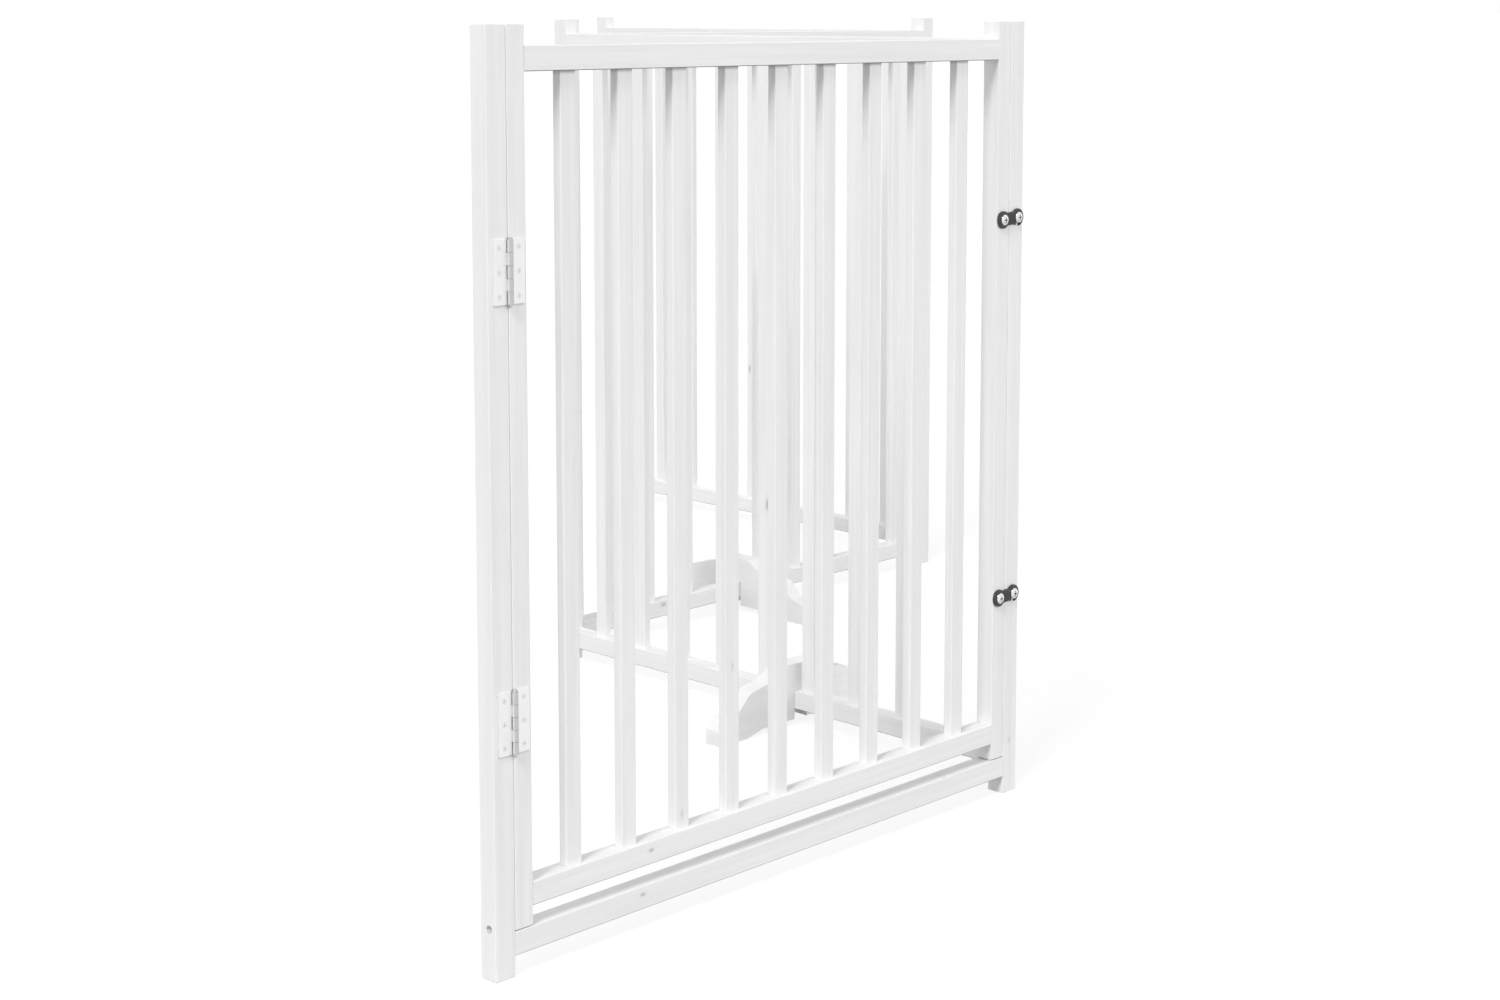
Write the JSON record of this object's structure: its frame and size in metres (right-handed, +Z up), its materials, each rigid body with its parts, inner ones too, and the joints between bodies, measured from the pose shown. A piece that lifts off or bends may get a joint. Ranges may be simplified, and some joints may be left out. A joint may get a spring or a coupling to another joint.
{
  "type": "pet gate",
  "caption": "Freestanding folding wooden pet gate in a zigzag, with upright slats, a hinged walk-through door with swing-hook latches, and saddle feet.",
  "frame": {"origin": "on the floor under the middle of the bounding box", "axes": "+X along the span of the zigzag from the door panel to the last panel, +Y to the left of that, +Z up"},
  "size_m": [2.3444, 0.5816, 0.91],
  "materials": {
    "white_paint": "white satin paint over wood, faint grain and a few grey knots",
    "dowel_wood": "plain beech",
    "hinge_steel": "satin nickel plate",
    "screw_chrome": "bright plate",
    "hook_plastic": "black moulded"
  },
  "bodies": {
    "panel_2": {"p2_near_post": "white_paint", "p2_far_post": "white_paint", "p2_top_rail": "white_paint", "p2_bottom_rail": "white_paint", "p2_slats": "white_paint", "p2_dowels": "dowel_wood", "fold_12_far_leaves": "hinge_steel", "fold_23_near_leaves": "hinge_steel", "fold_23_pins": "hinge_steel", "p2_hinge_screws": "hinge_steel"},
    "panel_1": {"p1_left_post": "white_paint", "p1_right_post": "white_paint", "p1_threshold_rail": "white_paint", "p1_dowels": "dowel_wood", "door_hinge_post_leaves": "hinge_steel", "p1_hinge_screws": "hinge_steel", "fold_12_near_leaves": "hinge_steel", "fold_12_pins": "hinge_steel", "latch_catch_screws": "screw_chrome"},
    "door": {"door_left_stile": "white_paint", "door_right_stile": "white_paint", "door_top_rail": "white_paint", "door_bottom_rail": "white_paint", "door_slat_1": "white_paint", "door_slat_2": "white_paint", "door_slat_3": "white_paint", "door_slat_4": "white_paint", "door_slat_5": "white_paint", "door_slat_6": "white_paint", "door_slat_7": "white_paint", "door_slat_8": "white_paint", "door_slat_9": "white_paint", "door_dowels": "dowel_wood", "door_hinge_door_leaves": "hinge_steel", "door_hinge_pins": "hinge_steel", "door_hinge_screws": "hinge_steel", "latch_pivot_screws": "screw_chrome"},
    "panel_3": {"p3_near_post": "white_paint", "p3_far_post": "white_paint", "p3_top_rail": "white_paint", "p3_bottom_rail": "white_paint", "p3_slats": "white_paint", "p3_dowels": "dowel_wood", "fold_23_far_leaves": "hinge_steel", "fold_34_near_leaves": "hinge_steel", "fold_34_pins": "hinge_steel", "p3_hinge_screws": "hinge_steel"},
    "panel_4": {"p4_near_post": "white_paint", "p4_far_post": "white_paint", "p4_top_rail": "white_paint", "p4_bottom_rail": "white_paint", "p4_slats": "white_paint", "p4_dowels": "dowel_wood", "fold_34_far_leaves": "hinge_steel", "p4_hinge_screws": "hinge_steel"},
    "foot_front": {"foot_front": "white_paint"},
    "foot_rear": {"foot_rear": "white_paint"},
    "hook_upper": {"latch_hook_upper": "hook_plastic"},
    "hook_lower": {"latch_hook_lower": "hook_plastic"}
  },
  "joints": [
    {"name": "fold_1_2", "type": "hinge", "parent": "panel_2", "child": "panel_1", "pos_m": [-0.58803, -0.27323, 0.466], "axis": [0, 0, 1], "range_deg": [-64, 90]},
    {"name": "door_swing", "type": "hinge", "parent": "panel_1", "child": "door", "pos_m": [-1.15746, 0.25576, 0.466], "axis": [0, 0, -1], "range_deg": [0, 170]},
    {"name": "latch_upper", "type": "hinge", "parent": "door", "child": "hook_upper", "pos_m": [-0.63463, -0.26467, 0.683], "axis": [-0.7071, -0.7071, 0], "range_deg": [0, 180]},
    {"name": "latch_lower", "type": "hinge", "parent": "door", "child": "hook_lower", "pos_m": [-0.63463, -0.26467, 0.239], "axis": [-0.7071, -0.7071, 0], "range_deg": [0, 180]},
    {"name": "fold_2_3", "type": "hinge", "parent": "panel_2", "child": "panel_3", "pos_m": [0, 0.27435, 0.466], "axis": [0, 0, 1], "range_deg": [-64, 90]},
    {"name": "fold_3_4", "type": "hinge", "parent": "panel_3", "child": "panel_4", "pos_m": [0.58803, -0.27323, 0.466], "axis": [0, 0, -1], "range_deg": [-64, 90]},
    {"name": "foot_front_lift", "type": "slide", "parent": "panel_2", "child": "foot_front", "axis": [0, 0, 1], "range_m": [0, 0.055]},
    {"name": "foot_rear_lift", "type": "slide", "parent": "panel_3", "child": "foot_rear", "axis": [0, 0, 1], "range_m": [0, 0.055]}
  ]
}
